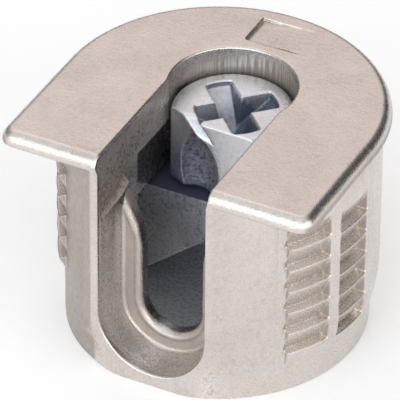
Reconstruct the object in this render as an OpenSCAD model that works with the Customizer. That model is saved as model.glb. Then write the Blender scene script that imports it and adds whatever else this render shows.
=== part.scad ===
// Cam lock connector for shelf panels: a die-cast housing that is pressed into
// a 20 mm blind hole, and a turning cam that grips the head of a connecting
// bolt. Base on z = 0, body axis on x = y = 0, bolt slot towards -Y,
// flange and driver side up.

/* [Body] */
// Diameter over the gripping teeth (the hole that it is pressed into)
grip_d = 20; // [19.8:0.1:20.4]
// Diameter of the plain body below and between the teeth
body_d = 18.96; // [18.6:0.02:19.2]
// Height of the whole housing, flange included
total_h = 15.75; // [15.4:0.05:16.4]
// Distance of the flat front around the slot from the body axis
front_flat = 9.15; // [9.0:0.05:9.2]
// Chamfer around the base
base_chamfer = 0.15; // [0.1:0.05:0.3]

/* [Flange] */
// Radius of the half-round back of the flange
flange_r = 10.45; // [10.2:0.05:10.8]
// Distance of the straight front edge from the body axis
flange_front = 9.15; // [9.0:0.05:9.5]
// Thickness of the flange
flange_t = 0.95; // [0.8:0.05:1.2]
// Radius of the two front corners
flange_corner = 1.0; // [0.6:0.1:1.5]
// Chamfer along the upper edge
flange_edge = 0.2; // [0.1:0.05:0.3]

/* [Keyhole] */
// Width of the slot from the front edge to the round hole
slot_w = 7.3; // [7.2:0.05:7.5]
// Distance of the cam axis behind the body axis
cam_y = 1.8; // [1.6:0.1:1.9]
// Diameter of the bore that the cam's head turns in
bore_d = 7.9; // [7.8:0.1:8]
// Chamfer at the top of that bore
bore_chamfer = 0.25; // [0.1:0.05:0.4]

/* [Bolt slot] */
// Height of the bolt axis above the base
bolt_z = 4.65; // [4.5:0.05:4.8]
// Distance of the front-facing ledge from the body axis
ledge_y = 6.7; // [6.4:0.1:6.9]
// Width of the narrow slot for the bolt's neck
neck_w = 4.2; // [4.1:0.1:4.4]
// Fillet between the slot wall and the ledge
ledge_fillet = 0.5; // [0.2:0.1:0.7]
// Height at which the narrow slot starts to widen to its funnel
funnel_low = 9.2; // [8.8:0.1:9.6]
// Height at which the funnel has the full slot width
funnel_high = 11.5; // [11:0.1:11.9]

/* [Cam cavity] */
// Diameter of the cavity that the cam's drum turns in
cavity_d = 13; // [12.8:0.1:13]
// Height of the ceiling above the cam's drum
drum_ceiling = 8.7; // [8.6:0.05:9]
// Height of the ceiling of the side pockets above that
ceiling_z = 12.3; // [12:0.1:12.6]
// Distance of the lip's rear face from the body axis
lip_back = 5.5; // [5.2:0.1:5.6]
// Width across the side pockets beside the cam's head
pocket_w = 8.6; // [8.4:0.1:9.2]

/* [Teeth] */
// Height of the first ledge in the front column on the right
first_ledge = 10.97; // [10.8:0.01:11.1]
// How much lower the ledges of the columns behind that are
column_step = 0.32; // [0:0.01:0.4]
// How much higher the ledges on the left are
side_step = 0.41; // [0:0.01:0.5]
// Distance from one tooth to the next
tooth_pitch = 1.57; // [1.4:0.01:1.6]
// Number of tooth grooves in a column on the right, the left has one less
tooth_count = 6; // [5:1:6]
// Diameter at the bottom of the tooth grooves
tooth_root_d = 18.5; // [18.3:0.1:18.7]

/* [Cam] */
// Running clearance of the cam's head in its bore, on the radius
head_gap = 0.08; // [0.05:0.01:0.1]
// Gap around the cam's drum
drum_gap = 0.12; // [0.08:0.01:0.2]
// Height of the top of the head
head_z = 14.05; // [13.8:0.05:14.2]
// Distance of the head's front flat from the cam axis
head_flat = 2.6; // [2.4:0.05:2.8]
// Height of the top of the claw drum
drum_z = 8.35; // [8.2:0.05:8.5]
// Height of the groove between the drum and the head
groove_h = 0.4; // [0.3:0.05:0.6]
// Length of the cross recess from tip to tip
cross_span = 5.6; // [5:0.1:6]
// Width of the arms of the cross recess at the top
cross_w = 1.7; // [1.4:0.1:1.8]

/* [Hidden] */
$fn = 96;
body_r = body_d / 2;
grip_r = grip_d / 2;
flange_z = total_h - flange_t;
flange_cy = 0.15;
half_w = slot_w / 2;
neck_r = neck_w / 2;
bore_r = bore_d / 2;
cavity_r = cavity_d / 2;
root_r = tooth_root_d / 2;
head_r = bore_r - head_gap;
drum_r = cavity_r - drum_gap;
floor_low = 0.42;
floor_top = 1.1;
// columns of teeth and smooth rails, as angles from +X towards the back
col_1 = [-38, -20.5];
col_2 = [-15.5, 1.5];
pad_end = 30;
rail_low = 3.3;
rail_end = 1.7;
// the same on the left, where the pads end higher
left_low = 5.1;
left_end = 4.1;

// ---- shared shapes --------------------------------------------------------

// sector of a turned profile, from angle a[0] to a[1]
module sector(a) { rotate([0, 0, a[0]]) rotate_extrude(angle = a[1] - a[0]) children(); }

// prism along Y of an outline in X and Z, from y = y0 to y = y1
module along_y(y0, y1) { translate([0, y1, 0]) rotate([90, 0, 0]) linear_extrude(y1 - y0) children(); }

// ---- housing --------------------------------------------------------------

module body_core() {
  intersection() {
    rotate_extrude() polygon([[0, 0], [body_r - base_chamfer, 0], [body_r, base_chamfer],
                              [body_r, total_h - 0.4], [0, total_h - 0.4]]);
    translate([-20, -front_flat, -1]) cube([40, 40, 30]);
  }
}

// front beside the slot: a flat cheek on each side, from the grip radius at the
// slot to the plain body at the first column of teeth
module cheeks() {
  a = [sqrt(grip_r * grip_r - front_flat * front_flat), -front_flat];
  b = body_r * [cos(col_1[0]), sin(col_1[0])];
  intersection() {
    rotate_extrude() polygon([[0, rail_end], [body_r - 0.02, rail_end], [grip_r, rail_low], [grip_r, flange_z + 0.2], [0, flange_z + 0.2]]);
    linear_extrude(total_h) polygon([a, b, [0, b[1]], [-b[0], b[1]], [-a[0], a[1]]]);
  }
}

module flange_outline() {
  c = flange_corner;
  translate([0, flange_cy]) intersection() {
    circle(flange_r);
    translate([-20, 0]) square([40, 20]);
  }
  translate([-flange_r, -flange_front + c]) square([2 * flange_r, flange_front + flange_cy - c]);
  translate([-flange_r + c, -flange_front]) square([2 * (flange_r - c), flange_front]);
  for (s = [-1, 1]) translate([s * (flange_r - c), -flange_front + c]) circle(c);
}

// wedge of air above an edge that runs along X at y = 0
module edge_cut(len) {
  e = flange_edge;
  rotate([90, 0, 90]) translate([0, 0, -len / 2]) linear_extrude(len)
    polygon([[-1, -1 - e], [e + 1, 1], [-1, 1]]);
}

module flange() {
  e = flange_edge;
  c = flange_corner;
  difference() {
    translate([0, 0, flange_z]) linear_extrude(flange_t) flange_outline();
    translate([0, -flange_front, total_h]) edge_cut(2 * (flange_r - c));
    for (s = [-1, 1])
      translate([s * flange_r, -(flange_front - c - flange_cy) / 2, total_h])
        rotate([0, 0, s * 90]) edge_cut(flange_front - c + flange_cy);
    translate([0, flange_cy, 0]) sector([0, 180])
      polygon([[flange_r - e, total_h], [flange_r + 1, total_h - e - 1], [flange_r + 1, total_h + 1], [flange_r - e, total_h + 1]]);
    for (s = [-1, 1]) translate([s * (flange_r - c), -flange_front + c, 0]) sector(s > 0 ? [-90, 0] : [180, 270])
      polygon([[c - e, total_h], [c + 1, total_h - e - 1], [c + 1, total_h + 1], [c - e, total_h + 1]]);
  }
}

// smooth rail: full grip radius, with a long slope at its lower end
module rail(a, low, end) {
  sector(a) polygon([[8.9, flange_z + 0.2], [grip_r, flange_z + 0.2], [grip_r, low], [body_r, end], [8.9, end]]);
}

// radius of the pad's outer face at a height
function pad_r(z, low, end) = z > low ? grip_r : body_r + (grip_r - body_r) * max(0, z - end) / (low - end);

// grooves of one column: each has a flat ledge below and a slope above it
module tooth_grooves(a, ledge, count, low, end) {
  for (i = [0:count - 1]) {
    z0 = ledge - i * tooth_pitch;
    z1 = z0 + tooth_pitch;
    sector(a) polygon([[root_r, z0], [grip_r + 0.5, z0], [grip_r + 0.5, z1], [pad_r(z1, low, end) + 0.001, z1]]);
  }
}

module bolt_pocket_outline(r) {
  f = ledge_fillet;
  translate([0, -20]) square([r, 20 - ledge_y - f]);
  translate([0, -20]) square([r - f, 20 - ledge_y]);
  intersection() {
    translate([r - f, -ledge_y - f]) circle(f);
    translate([0, -20]) square([r, 20]);
  }
}

// wide pocket in front of the ledge, round at its lower end
module bolt_pocket() {
  translate([0, 0, bolt_z]) {
    rotate([-90, 0, 0]) rotate_extrude() bolt_pocket_outline(half_w);
    linear_extrude(20) for (s = [0, 1]) mirror([s, 0, 0]) bolt_pocket_outline(half_w);
  }
}

// narrow slot for the bolt's neck, with a funnel above it
module neck_slot() {
  along_y(-ledge_y - 1, cam_y) {
    translate([0, bolt_z]) circle(neck_r);
    polygon([[-neck_r, bolt_z], [neck_r, bolt_z], [neck_r, funnel_low], [half_w, funnel_high],
             [half_w, total_h + 1], [-half_w, total_h + 1], [-half_w, funnel_high], [-neck_r, funnel_low]]);
  }
}

// channel behind the lip that the bolt head slides down
module head_channel() {
  along_y(-lip_back, 0.5) {
    translate([0, bolt_z]) circle(half_w);
    translate([-half_w, bolt_z]) square([slot_w, 20]);
  }
}

// cavity for the cam: a round chamber for the drum, side pockets above it
module cam_cavity() {
  translate([0, cam_y, -1]) cylinder(r = cavity_r, h = drum_ceiling + 1);
  translate([0, 0, drum_ceiling - 1]) linear_extrude(ceiling_z - drum_ceiling + 1) {
    translate([-pocket_w / 2, -3.6]) square([pocket_w, 3.6 + cam_y]);
    translate([0, cam_y]) circle(pocket_w / 2);
  }
  translate([0, cam_y, -1]) cylinder(r = bore_r, h = total_h + 2);
  translate([0, cam_y, total_h - bore_chamfer]) cylinder(r1 = bore_r, r2 = bore_r + bore_chamfer + 0.5, h = bore_chamfer + 0.5);
}

// shallow ramp in the top of the flange, deepest at its left wall
module flange_mark() {
  translate([-1.5, 6.55, total_h - 0.38]) rotate([0, -6.2, 0]) cube([6, 2.6, 3]);
}

module staked_nubs() {
  for (a = [90, 210, 330])
    translate([0, cam_y, 0]) sector([a - 7, a + 7])
      polygon([[cavity_r - 0.5, 0.12], [cavity_r - 0.38, 0], [cavity_r + 0.4, 0], [cavity_r + 0.4, 0.3], [cavity_r - 0.5, 0.3]]);
}

module housing() {
  color([0.80, 0.76, 0.72]) union() {
    difference() {
      union() {
        body_core();
        flange();
        cheeks();
        rail([col_1[0], pad_end], rail_low, rail_end);
        mirror([1, 0, 0]) rail([col_1[0], pad_end], left_low, left_end);
      }
      // each column starts at its own height
      for (c = [[col_1, 0], [col_2, column_step]]) {
        tooth_grooves(c[0], first_ledge - c[1], tooth_count, rail_low, rail_end);
        mirror([1, 0, 0]) tooth_grooves(c[0], first_ledge - c[1] + side_step, tooth_count - 1, left_low, left_end);
      }
      cam_cavity();
      bolt_pocket();
      neck_slot();
      head_channel();
      flange_mark();
    }
    staked_nubs();
  }
}

// ---- cam ------------------------------------------------------------------

// inner face of the claw: a spiral that closes in as the cam is turned
function claw_r(a) = 5.1 - 1.1 * max(0, a + 45) / 150;

// space inside the claw that the bolt head moves through
module claw_channel() {
  polygon(concat([for (a = [-110:10:100]) claw_r(a) * [cos(a), sin(a)]], [for (a = [100:-14:-110]) 2.4 * [cos(a), sin(a)]]));
}

module claw_drum() {
  difference() {
    translate([0, 0, floor_top - 0.2]) cylinder(r = drum_r, h = drum_z - floor_top + 0.2);
    // channel for the bolt head
    translate([0, 0, floor_top]) linear_extrude(20) claw_channel();
    // mouth, open to the front
    translate([0, 0, floor_top]) linear_extrude(20)
      polygon([[-9, -head_flat + 0.05], [0.2, -head_flat + 0.05], [3.2, -2.9], [9 * cos(-42), 9 * sin(-42)], [0, -12], [-9, -12]]);
    // slot in the claw for the bolt's neck
    translate([0, 0, bolt_z]) rotate([0, 0, -58]) rotate_extrude(angle = 150)
      polygon([[3.5, -neck_r], [9, -neck_r], [9, neck_r], [3.5, neck_r]]);
    // hollow under the head, deeper towards the floor
    translate([0.7, -2.7, floor_top]) cylinder(r1 = 6.3, r2 = 0.3, h = 5);
  }
}

module cam_head() {
  z0 = drum_z + groove_h;
  difference() {
    rotate_extrude() polygon([[0, drum_z - 0.2], [head_r - 0.6, drum_z - 0.2], [head_r - 0.6, z0], [head_r, z0],
                              [head_r, head_z - 0.45], [head_r - 0.13, head_z - 0.16], [head_r - 0.45, head_z], [0, head_z]]);
    // front flat, and the groove below it
    translate([-9, -18 - head_flat, 0]) cube([18, 18, 30]);
    translate([-9, -18 - head_flat + 1.4, drum_z]) cube([18, 18, groove_h]);
    translate([-9, -18 - head_flat + 1.4, 0]) cube([18, 18, drum_z + 0.01]);
    // scoop in the left half of the flat, round at its upper end
    translate([-1.0, -head_flat - 0.15, head_z - 1.75]) rotate([4, 3, 0]) {
      sphere(r = 1.2);
      translate([0, 0, -9]) cylinder(r = 1.2, h = 9);
    }
    cross_recess();
  }
}

// cross recess: two tapered grooves on the diagonals, inside a blunt cone
module cross_recess() {
  w = cross_w / 2;
  intersection() {
    translate([0, 0, head_z - 3]) cylinder(r1 = 0.85, r2 = cross_span / 2 + 0.32, h = 3.5);
    for (a = [45, 135]) rotate([0, 0, a]) rotate([90, 0, 0])
      translate([0, head_z, -4]) linear_extrude(8)
        polygon([[-w - 0.1, 0.5], [-w, 0], [-0.3, -3], [0.3, -3], [w, 0], [w + 0.1, 0.5]]);
  }
}

module cam() {
  color([0.60, 0.64, 0.70]) translate([0, cam_y, 0]) union() {
    translate([0, 0, floor_low]) cylinder(r = drum_r, h = floor_top - floor_low);
    claw_drum();
    cam_head();
  }
}

housing();
cam();
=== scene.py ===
import math
import bpy
import numpy as np
from mathutils import Matrix, Vector


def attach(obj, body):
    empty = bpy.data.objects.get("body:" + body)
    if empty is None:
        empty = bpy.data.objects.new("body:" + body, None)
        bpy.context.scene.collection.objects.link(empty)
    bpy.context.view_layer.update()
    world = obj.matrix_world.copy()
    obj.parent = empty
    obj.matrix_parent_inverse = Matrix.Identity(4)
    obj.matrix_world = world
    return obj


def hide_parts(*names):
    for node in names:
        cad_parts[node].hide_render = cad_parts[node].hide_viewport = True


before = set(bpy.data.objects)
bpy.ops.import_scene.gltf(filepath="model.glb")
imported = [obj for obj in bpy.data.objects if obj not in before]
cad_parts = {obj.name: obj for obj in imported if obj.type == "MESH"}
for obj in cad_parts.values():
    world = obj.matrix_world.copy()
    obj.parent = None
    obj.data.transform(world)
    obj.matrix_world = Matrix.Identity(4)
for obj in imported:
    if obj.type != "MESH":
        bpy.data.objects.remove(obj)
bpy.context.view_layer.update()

MM = 0.001
CAM_Y = 1.8          # cam axis behind the body axis
TOP = 15.75          # top of the flange
HEAD_Z = 14.05       # top of the cam's head


# ---------------------------------------------------------------------------
# Solid shapes as distance fields, in millimetres. Edges are rounded the way
# a die casting rounds them: unions get a fillet, intersections a round edge.
# ---------------------------------------------------------------------------

def u_round(a, b, r):
    return np.maximum(r, np.minimum(a, b)) - np.hypot(np.maximum(r - a, 0), np.maximum(r - b, 0))


def i_round(a, b, r):
    return np.minimum(-r, np.maximum(a, b)) + np.hypot(np.maximum(r + a, 0), np.maximum(r + b, 0))


def u_shape(x, z, half, zc):
    return np.where(z > zc, np.abs(x) - half, np.hypot(x, z - zc) - half)


def sind(a):
    return np.sin(np.radians(a))


def lattice(x, y, z, cell, seed):
    """Smooth value noise from 0 to 1, the same on every run."""
    g = np.random.default_rng(seed).random((48, 48, 48))
    out = 0.0
    q = [np.asarray(c, float) / cell + 200.0 for c in (x, y, z)]
    i = [np.floor(c).astype(int) for c in q]
    t = [c - k for c, k in zip(q, i)]
    t = [c * c * (3 - 2 * c) for c in t]
    for dx in (0, 1):
        for dy in (0, 1):
            for dz in (0, 1):
                w = (t[0] if dx else 1 - t[0]) * (t[1] if dy else 1 - t[1]) * (t[2] if dz else 1 - t[2])
                out = out + w * g[(i[0] + dx) % 48, (i[1] + dy) % 48, (i[2] + dz) % 48]
    return out


COL_1 = (-38.0, -20.5)
COL_2 = (-15.5, 1.5)
LEDGE, PITCH, ROOT = 10.97, 1.57, 9.25


def smooth(v):
    v = np.clip(v, 0, 1)
    return v * v * (3 - 2 * v)


def neck_gap(ax, z):
    """Outline of the narrow slot for the bolt's neck and the funnel above it."""
    funnel = np.maximum((ax - 2.0) * 0.9153 - (z - 8.8) * 0.4027, ax - 3.9)
    return u_round(u_shape(ax, z, 2.0, 4.25), funnel, 0.4)


def housing_field(x, y, z):
    ax = np.abs(x)
    rr = np.hypot(x, y)
    th = np.degrees(np.arctan2(y, ax))

    def sector(a0, a1):
        return rr * np.maximum(sind(a0 - th), sind(th - a1))

    # plain body
    body = np.maximum(i_round(rr - 9.48, -z, 0.16), z - 15.3)
    # gripping pads and the flat cheeks beside the slot, sloped at the lower end
    rail = i_round(rr - 10.0, (rr - 10.0) * 0.951 - (z - 3.3) * 0.309, 0.3)
    rail = np.maximum(rail, np.maximum(z - 15.2, 1.2 - z))
    left = i_round(rr - 10.0, (rr - 10.0) * 0.887 - (z - 5.1) * 0.461, 0.12)
    left = np.maximum(left, np.maximum(z - 15.2, 1.2 - z))
    pad = i_round(np.where(x > 0, rail, left), sector(COL_1[0], 30.0), 0.06)
    cheek = np.maximum(rail, np.maximum((ax - 4.034) * 0.6942 - (y + 9.15) * 0.7197, y + 5.8))
    solid = u_round(u_round(body, pad, 0.08), cheek, 0.08)
    # tooth grooves, flat ledge below and slope above, each column at its own height
    side = np.where(x > 0, 0.0, 0.41)
    sec_1, sec_2 = sector(*COL_1), sector(*COL_2)
    one = np.full_like(rr, 9.0)
    two = np.full_like(rr, 9.0)
    for i in range(6):
        gone = np.where(x > 0, -9.0, 9.0 if i == 5 else -9.0)
        z0 = LEDGE - i * PITCH + side
        cut = np.maximum(-((rr - ROOT) * 0.902 - (z - z0) * 0.431), z0 - z)
        one = np.minimum(one, np.maximum(cut, gone))
        z0 = z0 - 0.32
        cut = np.maximum(-((rr - ROOT) * 0.902 - (z - z0) * 0.431), z0 - z)
        two = np.minimum(two, np.maximum(cut, gone))
    grooves = np.minimum(i_round(one, sec_1, 0.12), i_round(two, sec_2, 0.12))
    solid = i_round(solid, -grooves, 0.11)
    solid = i_round(solid, -y - 9.15, 0.1)
    # flange
    out = np.where(y > 0.15, np.hypot(x, y - 0.15) - 10.45, i_round(ax - 10.45, -y - 9.15, 1.0))
    flange = i_round(i_round(out * 1.35, z - TOP, 0.9), 14.8 - z, 0.1)
    solid = u_round(solid, flange, 0.1)
    # mark in the top of the flange: a ramp that runs out to the right
    mark = np.maximum(np.maximum(TOP - 0.23 + (x + 1.5) * 0.066 - z, -1.5 - x), np.maximum(6.55 - y, y - 9.15))
    solid = i_round(solid, -mark, 0.07)
    # air: slot with a narrower rim at its front, bore, pockets, chamber for the drum
    rc = np.hypot(x, y - CAM_Y)
    draft = np.clip((y + 8.7) / 2.2, 0, 1) * smooth((-5.3 - y) / 0.3) * smooth((12.45 - z + 0.4 * (y + 5.8)) / 0.55)
    wide = 3.75 - 0.14 * smooth((-8.45 - y) / 0.3) * smooth((15.1 - z) / 0.6) - 0.5 * draft
    slot = np.maximum(u_shape(x, z, wide, 4.5 - 0.25 * draft), y - 0.5)
    pocket = np.minimum(np.maximum(ax - 4.3, np.maximum(-3.5 - y, y - CAM_Y)), rc - 4.3)
    pocket = np.maximum(pocket, np.maximum(z - 12.6, 7.7 - z))
    drum = np.maximum(rc - 6.5, z - 8.7)
    air = u_round(slot, rc - 3.97, 0.12)
    air = u_round(air, u_round(pocket, drum, 0.12), 0.1)
    solid = i_round(solid, -air, 0.14)
    # inner lip with the neck slot and its funnel
    neck = neck_gap(ax, z)
    lip = i_round(i_round(-neck, -6.5 - y, 0.5), y + 5.45, 0.08)
    lip = i_round(np.maximum(lip, u_shape(x, z, 4.2, 4.4)), (z - 12.2) * 0.928 - (y + 5.8) * 0.371, 0.1)
    solid = u_round(solid, lip, 0.02 + 0.2 * smooth((11.6 - z) / 1.4))
    # nubs staked over the cam's floor
    ang = np.degrees(np.arctan2(y - CAM_Y, x))
    nub = np.maximum(np.maximum(5.98 - rc, rc - 6.9), np.maximum(z - 0.3, 0.02 - z))
    near = np.minimum(np.minimum(np.abs(ang - 90), np.abs(ang + 150)), np.abs(ang + 30))
    nub = i_round(nub, (near - 7.0) * 0.11, 0.08)
    return np.minimum(solid, nub)


def housing_skin(x, y, z):
    """The housing with the casting's slightly uneven skin."""
    b = lattice(x, y, z, 0.22, 5)
    c = lattice(x, y, z, 1.9, 7)
    return housing_field(x, y, z) + (b - 0.5) * 0.006 + (c - 0.5) * 0.012


def scoop_gap(u, v, z):
    """Long hollow in the front of the cam's head."""
    return np.sqrt((u + 1.3) ** 2 + (v + 3.1) ** 2 + ((z - 10.4) * 0.62) ** 2) - 1.65


def cam_field(x, y, z):
    u, v = x, y - CAM_Y
    r = np.hypot(u, v)
    th = np.degrees(np.arctan2(v, u))
    floor = i_round(i_round(r - 6.38, z - 1.1, 0.1), 0.42 - z, 0.15)
    drum = i_round(np.maximum(r - 6.38, 0.9 - z), z - 8.35, 0.06)
    # spiral channel inside the claw, mouth at the front
    claw = 5.1 - 1.1 * np.maximum(0, th + 45) / 150
    turn = -r * np.maximum(sind(100 - th), sind(th - 275))
    channel = np.maximum(np.maximum(r - claw, 2.4 - r), turn)
    mouth = np.maximum(v + 2.55, (u - 1.5) * 0.1159 + (v + 2.55) * 0.9933)
    m = math.radians(42)
    ex, ey = 9 * math.cos(m) - 3.2, -9 * math.sin(m) + 2.9
    ln = math.hypot(ex, ey)
    mouth = i_round(mouth, (u - 3.2) * (-ey / ln) + (v + 2.9) * (ex / ln), 0.4)
    air = np.maximum(u_round(channel, mouth, 0.12), 1.1 - z)
    neck = np.maximum(np.maximum(3.5 - r, np.abs(z - 4.65) - 2.1), r * np.maximum(sind(-58 - th), sind(th - 92)))
    air = u_round(air, neck, 0.12)
    cone = (np.hypot(u - 0.7, v + 2.7) - (6.3 - 1.2 * (z - 1.1))) * 0.64
    air = u_round(air, np.maximum(np.maximum(cone, 1.1 - z), z - 6.1), 0.12)
    drum = i_round(drum, -air, 0.05)
    # head: round, with a soft rim, a front flat and a groove below it
    head = i_round(i_round(r - 3.8, z - HEAD_Z, 0.4), 8.75 - z, 0.1)
    head = i_round(head, -2.6 - v, 0.1)
    stem = np.maximum(np.maximum(r - 3.27, -1.2 - v), np.maximum(8.1 - z, z - 9.0))
    head = u_round(head, stem, 0.05)
    # the flat turns away on the left; a long scoop is sunk where the two faces meet
    head = i_round(head, -0.411 * u - 0.91 * v - 2.84, 0.1)
    scoop = scoop_gap(u, v, z)
    groove = np.maximum(-(0.2 * (u + 2.35) - 0.68 * (v + 2.05) + 0.705 * (z - HEAD_Z)), (u + 1 - 0.773 * (HEAD_Z - z)) * 0.79)
    groove = np.maximum(groove, HEAD_Z - 1.5 - z)
    head = i_round(head, -u_round(scoop, groove, 0.12), 0.1)
    # cross recess on the diagonals, its floor falling towards the middle
    bars = 9.0
    for k in (1, -1):
        w = np.abs(u * 0.70711 * k + v * 0.70711)
        bars = np.minimum(bars, (w - (0.88 - (HEAD_Z - z) * 0.2)) * 0.98)
    reach = 2.85 - 0.5 * smooth((-u - v - 1.2) / 1.0)
    recess = i_round(i_round(bars, r - reach, 0.12), (HEAD_Z - 2.3 + 0.65 * r - z) * 0.838, 0.1)
    head = i_round(head, -recess, 0.1)
    return u_round(u_round(drum, floor, 0.12), head, 0.08)


def cam_skin(x, y, z):
    b = lattice(x, y, z, 0.24, 11)
    c = lattice(x, y, z, 0.7, 13)
    return cam_field(x, y, z) + (b - 0.5) * 0.006 + (c - 0.5) * 0.02 * smooth((9.0 - z) / 0.5)


def housing_painted_shade(p, n, deep):
    """Painted shade: darker in hollows and corners, on the slot's upper walls, the line at the lip's edge, the ledge in
    front, the upward steps in the slot, the bore's back wall, the tooth ends, the lower half of the flange's right rim,
    and the left cheek that faces away from the light.
    """
    x, y, z = p.T
    slot = smooth((4.3 - np.abs(x)) / 0.3) * smooth((y + 9.0) / 0.5) * smooth((-1.0 - y) / 1.0)
    upper = slot * smooth((z - 12.0 - 0.4 * (y + 5.8)) / 0.5) * smooth((TOP - 0.35 - z) / 0.4)
    inner = smooth((8.8 - np.hypot(x, y)) / 0.4) * smooth((TOP - 0.2 - z) / 0.4)
    # left cheek facing left-front: painted shade, as it faces away from the light
    cheek = smooth((-0.694 * n[:, 0] - 0.72 * n[:, 1] - 0.86) / 0.1) * smooth((-4.0 - x) / 0.3)
    lower_slot = slot * smooth((12.0 - z) / 0.5)
    bore = smooth((4.4 - np.hypot(x, y - CAM_Y)) / 0.2) * smooth((y - 2.5) / 1.5) * smooth((TOP - 0.3 - z) / 0.3)
    gap = neck_gap(np.abs(x), z)
    line = np.exp(-((gap - 0.42) / 0.1) ** 2) * smooth((-5.7 - y) / 0.2) * smooth((y + 6.8) / 0.1) * smooth((11.8 - z) / 0.5)
    face = lower_slot * smooth((-n[:, 1] - 0.6) / 0.2) * smooth((y + 6.8) / 0.2)
    step = slot * smooth((n[:, 2] - 0.2) / 0.2) * smooth((z - 10.5) / 0.4) * smooth((13.0 - z) / 0.3)
    rr = np.hypot(x, y)
    along = np.abs(n[:, 0] * y - n[:, 1] * x) / rr
    ends = smooth((along - 0.45) / 0.25) * smooth((9.93 - rr) / 0.1) * smooth((rr - 9.0) / 0.2) * smooth((y + 6.4) / 0.3) * smooth((z - 3.0) / 0.5) * smooth((14.75 - z) / 0.2)
    # flange's right rim: painted shade along its lower half
    rim = smooth((n[:, 0] - 0.5) / 0.3) * smooth((x - 5.0) / 2.0) * smooth((15.35 - z) / 0.3) * smooth((z - 14.6) / 0.1)
    return deep * (0.03 + 0.07 * inner) + upper * 0.44 + cheek * 0.5 + line * 0.4 + face * 0.24 + step * 0.5 + bore * 0.6 + ends * 0.3 + rim * 0.5


def housing_pitted(p, n, deep):
    """Pitted cast skin: the slot's upper walls, the ring around its lower end, a seam behind its front edge."""
    x, y, z = p.T
    slot = smooth((4.3 - np.abs(x)) / 0.3) * smooth((y + 8.95) / 0.3) * smooth((-1.0 - y) / 1.0)
    upper = smooth((z - 11.9 - 0.4 * (y + 5.8)) / 0.5) * smooth((TOP - 0.3 - z) / 0.4)
    ring = smooth((-6.75 - y) / 0.3) * smooth((8.0 - z) / 3.0)
    seam = smooth((0.45 - np.abs(y + 8.1)) / 0.3) * smooth((z - 3.0) / 2.0)
    return slot * np.maximum(np.maximum(upper, 0.5 * ring), 0.4 * seam)


# Painted shade on the cam: darker in hollows and corners, on its lower part deep in the chamber, on the drum's top
# where the gap under the housing is in shadow, in the scoop and on the groove's left face, on the head's left side with
# a painted reflection of the slot wall that darkens towards the bottom, and in the cross recess.
def cam_painted_shade(p, n, deep):
    x, y, z = p.T
    u, v = x, y - CAM_Y
    low = smooth((9.2 - z) / 0.8)
    flat = -v - 2.6
    scoop = scoop_gap(u, v, z)
    hole = smooth((0.12 - scoop) / 0.2) * smooth((z - 8.5) / 0.3) * smooth((12.7 - z) / 0.35)
    hole = hole * (0.85 + 0.25 * smooth((-0.9 - u) / 1.0) + 0.1 * smooth((11.6 - z) / 1.5))
    hole = np.maximum(hole, 0.5 * smooth((-n[:, 0] - 0.45) / 0.2) * smooth((0.12 - np.abs(u + 1 - 0.773 * (HEAD_Z - z)) * 0.79) / 0.1) * smooth((HEAD_Z - 0.1 - z) / 0.1))
    side = smooth((-1.5 - u) / 0.3) * smooth((-0.2 - v) / 0.5) * smooth((HEAD_Z - 0.25 - z) / 0.3) * smooth((z - 8.5) / 0.3)
    side = side * smooth((-0.1 - n[:, 0]) / 0.2) * (0.35 + 0.45 * smooth((12.6 - z) / 2.0))
    cross = smooth((HEAD_Z - 0.12 - z) / 0.2) * smooth((3.0 - np.hypot(u, v)) / 0.2) * smooth((v + 2.3) / 0.3) * smooth((z - 11.3) / 0.3)
    away = 0.24 + 0.36 * smooth((2.3 - np.hypot(u, v)) / 1.4) + 0.35 * smooth((u + 0.35 * v - 0.15) / 0.5) + 0.4 * smooth((-0.707 * (n[:, 0] + n[:, 1]) - 0.35) / 0.3)
    top = smooth((n[:, 2] - 0.5) / 0.3) * smooth((z - 8.0) / 0.2) * smooth((8.7 - z) / 0.2)
    return deep * 0.12 * (1 - low) + low * 0.42 * smooth((z - 4.5) / 1.0) + 0.75 * top + np.maximum(np.maximum(hole, side), cross * away)


def cam_pitted(p, n, deep):
    x, y, z = p.T
    scoop = scoop_gap(x, y - CAM_Y, z)
    hole = smooth((0.12 - scoop) / 0.2) * smooth((z - 8.5) / 0.3) * smooth((12.9 - z) / 0.8)
    return 0.55 * smooth((9.0 - z) / 0.4) + 0.6 * hole


def cam_matt(p, n, deep):
    """The lower hollow is left as cast and scatters the light."""
    return smooth((4.6 - p[:, 2]) / 0.4)


def housing_matt(p, n, deep):
    """The slot's walls and the tooth grooves are dull too."""
    x, y, z = p.T
    slot = smooth((4.3 - np.abs(x)) / 0.3) * smooth((y + 9.0) / 0.2) * smooth((-6.6 - y) / 0.3)
    rr = np.hypot(x, y)
    th = np.degrees(np.arctan2(y, np.abs(x)))
    teeth = smooth((9.95 - rr) / 0.1) * smooth((rr - 9.0) / 0.2) * smooth((th - COL_1[0] + 0.5) / 1.0) * smooth((COL_2[1] + 0.5 - th) / 1.0)
    teeth = teeth * smooth((z - 3.0) / 0.5) * smooth((14.9 - z) / 0.2)
    wall = smooth((4.4 - np.abs(x)) / 0.2) * smooth((y + 8.8) / 0.3) * smooth((2.5 - y) / 1.0) * smooth((z - 12.0) / 0.5) * smooth((TOP - 0.2 - z) / 0.2)
    wall = wall * (0.3 + 0.55 * smooth((y + 5.0) / 1.2))
    return np.maximum(np.maximum(slot * smooth((11.5 - z) / 1.0), teeth), wall)


# ---------------------------------------------------------------------------
# Meshing: one vertex per cell that the surface crosses, drawn onto the surface
# ---------------------------------------------------------------------------

def sample(field, axes):
    d = np.empty([len(a) for a in axes], np.float32)
    gy, gz = np.meshgrid(axes[1], axes[2], indexing="ij")
    step = 12
    for i in range(0, len(axes[0]), step):
        xs = axes[0][i:i + step]
        shape = (len(xs),) + gy.shape
        d[i:i + step] = field(np.broadcast_to(xs[:, None, None], shape), np.broadcast_to(gy, shape), np.broadcast_to(gz, shape))
    return d


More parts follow.
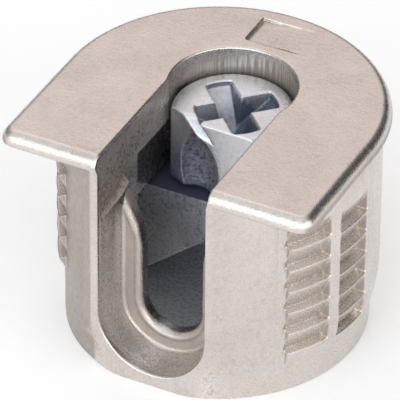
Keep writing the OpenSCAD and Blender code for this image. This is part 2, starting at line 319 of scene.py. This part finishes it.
def gradient(field, p, e=0.03):
    g = np.empty_like(p)
    for k in range(3):
        q = p.copy()
        q[:, k] += e
        hi = field(q[:, 0], q[:, 1], q[:, 2])
        q[:, k] -= 2 * e
        g[:, k] = (hi - field(q[:, 0], q[:, 1], q[:, 2])) / (2 * e)
    return g


def settle(field, p, h, times):
    for _ in range(times):
        d = field(p[:, 0], p[:, 1], p[:, 2])
        g = gradient(field, p)
        n2 = np.maximum((g * g).sum(1), 0.2)
        p = p - g * np.clip(d / n2, -0.6 * h, 0.6 * h)[:, None]
    return p


def nets(field, lo, hi, h):
    axes = [np.arange(a, b + h, h, dtype=np.float64) for a, b in zip(lo, hi)]
    d = sample(field, axes)
    s = d < 0
    count = sum(s[i:i + s.shape[0] - 1, j:j + s.shape[1] - 1, k:k + s.shape[2] - 1].astype(np.int8)
                for i in (0, 1) for j in (0, 1) for k in (0, 1))
    act = (count > 0) & (count < 8)
    cell = np.argwhere(act)
    ids = np.full(act.shape, -1, np.int32)
    ids[act] = np.arange(len(cell), dtype=np.int32)
    corner = {(i, j, k): d[cell[:, 0] + i, cell[:, 1] + j, cell[:, 2] + k].astype(np.float64)
              for i in (0, 1) for j in (0, 1) for k in (0, 1)}
    total = np.zeros((len(cell), 3))
    hits = np.zeros(len(cell))
    for a in corner:
        for k in range(3):
            if a[k]:
                continue
            b = tuple(1 if m == k else a[m] for m in range(3))
            va, vb = corner[a], corner[b]
            cross = (va < 0) != (vb < 0)
            t = np.where(cross, va / np.where(cross, va - vb, 1.0), 0.0)
            q = np.empty((len(cell), 3))
            for m in range(3):
                q[:, m] = a[m] + (t if m == k else 0.0)
            total += q * cross[:, None]
            hits += cross
    p = (cell + total / hits[:, None]) * h + np.array([a[0] for a in axes])
    quads = []
    for k in range(3):
        m, n = (k + 1) % 3, (k + 2) % 3
        lo_s = [slice(None)] * 3
        hi_s = [slice(None)] * 3
        lo_s[k], hi_s[k] = slice(0, -1), slice(1, None)
        e = np.argwhere(s[tuple(lo_s)] != s[tuple(hi_s)])
        e = e[(e[:, m] > 0) & (e[:, n] > 0) & (e[:, m] < d.shape[m] - 1) & (e[:, n] < d.shape[n] - 1)]
        ring = []
        for dm, dn in ((-1, -1), (0, -1), (0, 0), (-1, 0)):
            c = e.copy()
            c[:, m] += dm
            c[:, n] += dn
            ring.append(ids[c[:, 0], c[:, 1], c[:, 2]])
        ring = np.stack(ring, 1)
        inside = s[e[:, 0], e[:, 1], e[:, 2]]
        ring[~inside] = ring[~inside][:, ::-1]
        quads.append(ring)
    return p, np.concatenate(quads)


def put_mesh(name, p, faces):
    me = bpy.data.meshes.new(name)
    me.vertices.add(len(p))
    me.vertices.foreach_set("co", p.astype(np.float32).ravel())
    n = faces.shape[1]
    me.loops.add(faces.size)
    me.loops.foreach_set("vertex_index", faces.astype(np.int32).ravel())
    me.polygons.add(len(faces))
    me.polygons.foreach_set("loop_start", np.arange(0, faces.size, n, dtype=np.int32))
    me.polygons.foreach_set("use_smooth", np.ones(len(faces), bool))
    me.update(calc_edges=True)
    return me


def hollow(field, p, n):
    """0 on open faces, towards 1 deep inside grooves, pockets and corners."""
    near = 0.0
    total = 0.0
    for k in (0.3, 0.7, 1.3, 2.1):
        q = p + n * k
        near = near + np.clip(k - field(q[:, 0], q[:, 1], q[:, 2]), 0, k)
        total += k
    return np.clip(near / total, 0, 1)


def cast_piece(name, field, skin, marks, lo, hi, h, budget):
    """Meshes a field, thins it to a triangle budget, and draws it onto its skin."""
    p, quads = nets(field, lo, hi, h)
    p = settle(field, p, h, 2)
    me = put_mesh(name + "_full", p, quads)
    ob = bpy.data.objects.new(name + "_full", me)
    bpy.context.scene.collection.objects.link(ob)
    thin = ob.modifiers.new("thin", "DECIMATE")
    thin.ratio = min(1.0, budget / (2.0 * len(quads)))
    bpy.context.view_layer.update()
    out = bpy.data.meshes.new_from_object(ob.evaluated_get(bpy.context.evaluated_depsgraph_get()))
    bpy.data.objects.remove(ob)
    bpy.data.meshes.remove(me)
    q = np.empty(len(out.vertices) * 3, np.float32)
    out.vertices.foreach_get("co", q)
    q = settle(skin, q.reshape(-1, 3).astype(float), 0.1, 2)
    nrm = gradient(skin, q, 0.04)
    nrm /= np.maximum(np.linalg.norm(nrm, axis=1), 1e-6)[:, None]
    deep = hollow(field, q, nrm)
    # marks stored per vertex: painted shade (using deep, how far a point lies in a hollow), pits and matt areas
    for mark, amount in marks.items():
        value = np.clip(amount(q, nrm, deep), 0, 1)
        out.attributes.new(mark, "FLOAT", "POINT").data.foreach_set("value", value.astype(np.float32))
    out.vertices.foreach_set("co", (q * MM).astype(np.float32).ravel())
    out.update()
    out.polygons.foreach_set("use_smooth", np.ones(len(out.polygons), bool))
    out.normals_split_custom_set_from_vertices([tuple(v) for v in nrm])
    out.name = name
    piece = bpy.data.objects.new(name, out)
    bpy.context.scene.collection.objects.link(piece)
    return piece


# ---------------------------------------------------------------------------
# Materials
# ---------------------------------------------------------------------------

def new_material(name):
    mat = bpy.data.materials.new(name)
    mat.use_nodes = True
    nt = mat.node_tree
    nt.nodes.clear()
    out = nt.nodes.new("ShaderNodeOutputMaterial")
    bsdf = nt.nodes.new("ShaderNodeBsdfPrincipled")
    nt.links.new(bsdf.outputs[0], out.inputs[0])
    return mat, nt, bsdf


def noise(nt, coord, scale, detail=3.0, rough=0.55):
    n = nt.nodes.new("ShaderNodeTexNoise")
    n.inputs["Scale"].default_value = scale
    n.inputs["Detail"].default_value = detail
    n.inputs["Roughness"].default_value = rough
    nt.links.new(coord, n.inputs["Vector"])
    return n.outputs["Fac"]


def ramp(nt, value, stops):
    r = nt.nodes.new("ShaderNodeValToRGB")
    while len(r.color_ramp.elements) < len(stops):
        r.color_ramp.elements.new(0.5)
    for e, (pos, col) in zip(r.color_ramp.elements, stops):
        e.position = pos
        e.color = (*col, 1.0)
    nt.links.new(value, r.inputs["Fac"])
    return r.outputs["Color"]


def spread(nt, value, lo, hi, out_lo, out_hi):
    m = nt.nodes.new("ShaderNodeMapRange")
    m.inputs["From Min"].default_value = lo
    m.inputs["From Max"].default_value = hi
    m.inputs["To Min"].default_value = out_lo
    m.inputs["To Max"].default_value = out_hi
    nt.links.new(value, m.inputs["Value"])
    return m.outputs["Result"]


def bump(nt, height, strength, distance, normal=None):
    b = nt.nodes.new("ShaderNodeBump")
    b.inputs["Strength"].default_value = strength
    b.inputs["Distance"].default_value = distance
    nt.links.new(height, b.inputs["Height"])
    if normal is not None:
        nt.links.new(normal, b.inputs["Normal"])
    return b.outputs["Normal"]


def maths(nt, kind, a, b, c=None):
    """One arithmetic node; each operand is a socket or a plain number."""
    m = nt.nodes.new("ShaderNodeMath")
    m.operation = kind
    for k, v in enumerate((a, b, c)):
        if v is None:
            continue
        if isinstance(v, (int, float)):
            m.inputs[k].default_value = v
        else:
            nt.links.new(v, m.inputs[k])
    return m.outputs[0]


def attribute(nt, name):
    node = nt.nodes.new("ShaderNodeAttribute")
    node.attribute_name = name
    return node.outputs["Fac"]


def cast_metal(name, light, mid, dark, pit_and_shade_tone, rough, grain):
    """Plated die casting: sandy grain, cloudy tone, uneven gloss, dark pits where it is marked as pitted, and painted
    shade, a darker and duller tone, where it is marked as shaded.
    """
    mat, nt, bsdf = new_material(name)
    co = nt.nodes.new("ShaderNodeTexCoord").outputs["Object"]
    cloud = noise(nt, co, 320.0, 3.0)
    sand = noise(nt, co, 7600.0, 3.0, 0.7)
    spots = noise(nt, co, 3000.0, 2.0, 0.5)
    holes = noise(nt, co, 4600.0, 1.0, 0.5)
    tone = maths(nt, "MULTIPLY_ADD", sand, 0.55, maths(nt, "MULTIPLY_ADD", spots, 0.55, maths(nt, "MULTIPLY", cloud, 0.6)))
    clean = ramp(nt, spread(nt, tone, 0.6, 1.1, 0.0, 1.0), [(0.0, dark), (0.5, mid), (1.0, light)])
    pitted = attribute(nt, "pitted")
    pit = maths(nt, "MULTIPLY", spread(nt, holes, 0.5, 0.62, 0.0, 1.0), pitted)
    # painted shade from the vertex marks, broken up by cloudy spots, mixes towards the dark tone together with the pits
    patch = maths(nt, "MULTIPLY_ADD", spots, 0.5, attribute(nt, "painted_shade"))
    amount = maths(nt, "MULTIPLY_ADD", pit, 0.7, spread(nt, patch, 0.27, 1.15, 0.0, 1.0))
    amount = maths(nt, "MINIMUM", amount, 1.0)
    both = nt.nodes.new("ShaderNodeMix")
    both.data_type = "RGBA"
    nt.links.new(amount, both.inputs["Factor"])
    nt.links.new(clean, both.inputs["A"])
    both.inputs["B"].default_value = (*pit_and_shade_tone, 1.0)
    nt.links.new(both.outputs["Result"], bsdf.inputs["Base Color"])
    # pits and painted shade also make the metal less metallic and rougher; matt areas are less metallic
    shine = maths(nt, "MULTIPLY", spread(nt, amount, 0.0, 1.0, 1.0, 0.35), spread(nt, attribute(nt, "matt"), 0.0, 1.0, 1.0, 0.74))
    nt.links.new(shine, bsdf.inputs["Metallic"])
    gloss = maths(nt, "MULTIPLY_ADD", amount, 0.22, spread(nt, sand, 0.3, 0.7, rough - 0.05, rough + 0.07))
    nt.links.new(gloss, bsdf.inputs["Roughness"])
    n1 = bump(nt, sand, 0.55 * grain, 0.00003)
    n2 = bump(nt, spots, 0.22 * grain, 0.00004, n1)
    n3 = bump(nt, pit, 0.4, -0.00004, n2)
    nt.links.new(n3, bsdf.inputs["Normal"])
    return mat


def srgb(r, g, b):
    f = lambda c: c / 12.92 if c <= 0.04045 else ((c + 0.055) / 1.055) ** 2.4
    return tuple(f(c / 255.0) for c in (r, g, b))


# last colour of each: the dark tone of the pits and of the painted shade
nickel = cast_metal("nickel_casting", srgb(224, 217, 211), srgb(213, 205, 199), srgb(199, 190, 184), srgb(112, 100, 90), 0.27, 1.0)
zinc = cast_metal("zinc_casting", srgb(229, 230, 234), srgb(219, 220, 225), srgb(203, 206, 213), srgb(84, 91, 110), 0.3, 1.0)

housing = cast_piece("housing_casting", housing_field, housing_skin, {"painted_shade": housing_painted_shade, "pitted": housing_pitted, "matt": housing_matt}, (-10.8, -9.5, -0.35), (10.8, 10.95, 16.1),
                     0.1, 170000)
cam = cast_piece("cam_casting", cam_field, cam_skin, {"painted_shade": cam_painted_shade, "pitted": cam_pitted, "matt": cam_matt}, (-6.8, -5.0, 0.1), (6.8, 8.6, 14.4),
                 0.08, 110000)
housing.data.materials.append(nickel)
cam.data.materials.append(zinc)
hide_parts("housing")
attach(housing, "housing")
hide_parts("cam")
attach(cam, "cam")

# ---------------------------------------------------------------------------
# Floor, light and camera
# ---------------------------------------------------------------------------

bpy.ops.mesh.primitive_plane_add(size=3.0, location=(0, 0, 0))
floor = bpy.context.object
floor.name = "floor"
fmat, fnt, fb = new_material("floor_pale")
fb.inputs["Base Color"].default_value = (0.98, 0.98, 0.98, 1)
fb.inputs["Roughness"].default_value = 0.9
fb.inputs["Emission Color"].default_value = (1, 1, 1, 1)
fb.inputs["Emission Strength"].default_value = 0.14
fb.inputs["Specular IOR Level"].default_value = 0.1
floor.data.materials.append(fmat)

world = bpy.data.worlds.new("studio")
bpy.context.scene.world = world
world.use_nodes = True
wn = world.node_tree
wn.nodes.clear()
wout = wn.nodes.new("ShaderNodeOutputWorld")
bg = wn.nodes.new("ShaderNodeBackground")
wn.links.new(bg.outputs[0], wout.inputs[0])
# soft panels around a table: azimuth and elevation, half-width in degrees, colour
SKY = [
    (0, 90, 50, (0.95, 0.95, 0.95)),
    (0, 42, 34, (0.22, 0.22, 0.22)),
    (30, 42, 34, (0.03, 0.03, 0.03)),
    (60, 42, 34, (0.03, 0.03, 0.03)),
    (90, 42, 34, (0.08, 0.08, 0.08)),
    (120, 42, 34, (0.88, 0.79, 0.77)),
    (150, 42, 34, (0.22, 0.22, 0.22)),
    (180, 42, 34, (0.22, 0.22, 0.22)),
    (210, 42, 34, (0.22, 0.22, 0.22)),
    (240, 42, 34, (0.22, 0.22, 0.22)),
    (270, 42, 34, (0.63, 0.74, 0.85)),
    (300, 42, 34, (0.22, 0.22, 0.22)),
    (330, 42, 34, (0.22, 0.22, 0.22)),
    (0, 10, 34, (1.45, 1.45, 1.45)),
    (30, 10, 34, (0.03, 0.03, 0.03)),
    (60, 10, 34, (0.03, 0.03, 0.03)),
    (90, 10, 34, (0.03, 0.03, 0.03)),
    (120, 10, 34, (0.12, 0.12, 0.12)),
    (150, 10, 34, (0.12, 0.12, 0.12)),
    (180, 10, 34, (0.12, 0.12, 0.12)),
    (210, 10, 34, (0.12, 0.12, 0.12)),
    (240, 10, 34, (1.45, 1.45, 1.45)),
    (270, 10, 34, (1.45, 1.45, 1.45)),
    (300, 10, 34, (1.45, 1.45, 1.45)),
    (330, 10, 34, (1.45, 1.45, 1.45)),
]
toward = wn.nodes.new("ShaderNodeTexCoord").outputs["Generated"]
total = None
for az_, el_, half_, col_ in SKY:
    a_, e_ = math.radians(az_), math.radians(el_)
    dot = wn.nodes.new("ShaderNodeVectorMath")
    dot.operation = "DOT_PRODUCT"
    wn.links.new(toward, dot.inputs[0])
    dot.inputs[1].default_value = (math.cos(a_) * math.cos(e_), math.sin(a_) * math.cos(e_), math.sin(e_))
    fall = wn.nodes.new("ShaderNodeMapRange")
    fall.interpolation_type = "SMOOTHSTEP"
    fall.inputs["From Min"].default_value = math.cos(math.radians(half_))
    fall.inputs["From Max"].default_value = 1.0
    wn.links.new(dot.outputs["Value"], fall.inputs["Value"])
    panel = wn.nodes.new("ShaderNodeVectorMath")
    panel.operation = "SCALE"
    panel.inputs[0].default_value = col_
    wn.links.new(fall.outputs["Result"], panel.inputs["Scale"])
    if total is None:
        total = panel.outputs[0]
    else:
        both = wn.nodes.new("ShaderNodeVectorMath")
        both.operation = "ADD"
        wn.links.new(total, both.inputs[0])
        wn.links.new(panel.outputs[0], both.inputs[1])
        total = both.outputs[0]
wn.links.new(total, bg.inputs["Color"])

# camera fitted to the photograph: f in pixels of a 400-pixel frame, 36 mm sensor
az, el, roll = math.radians(26.575), math.radians(36.035), math.radians(0.533)
back = Vector((math.sin(az) * math.cos(el), -math.cos(az) * math.cos(el), math.sin(el)))
right = Vector((math.cos(az), math.sin(az), 0.0))
up = back.cross(right)
r2 = right * math.cos(roll) + up * math.sin(roll)
u2 = up * math.cos(roll) - right * math.sin(roll)
cam_data = bpy.data.cameras.new("camera")
cam_data.sensor_fit = "HORIZONTAL"
cam_data.sensor_width = 36.0
cam_data.lens = 5158.6 / 400.0 * 36.0
cam_data.clip_start = 0.01
cam_data.clip_end = 10.0
cam_ob = bpy.data.objects.new("camera", cam_data)
m = Matrix((r2, u2, back)).transposed().to_4x4()
m.translation = Vector((113.82, -230.09, 179.15 + TOP)) * MM
cam_ob.matrix_world = m
bpy.context.scene.collection.objects.link(cam_ob)
bpy.context.scene.camera = cam_ob
bpy.context.scene.view_settings.view_transform = "Standard"
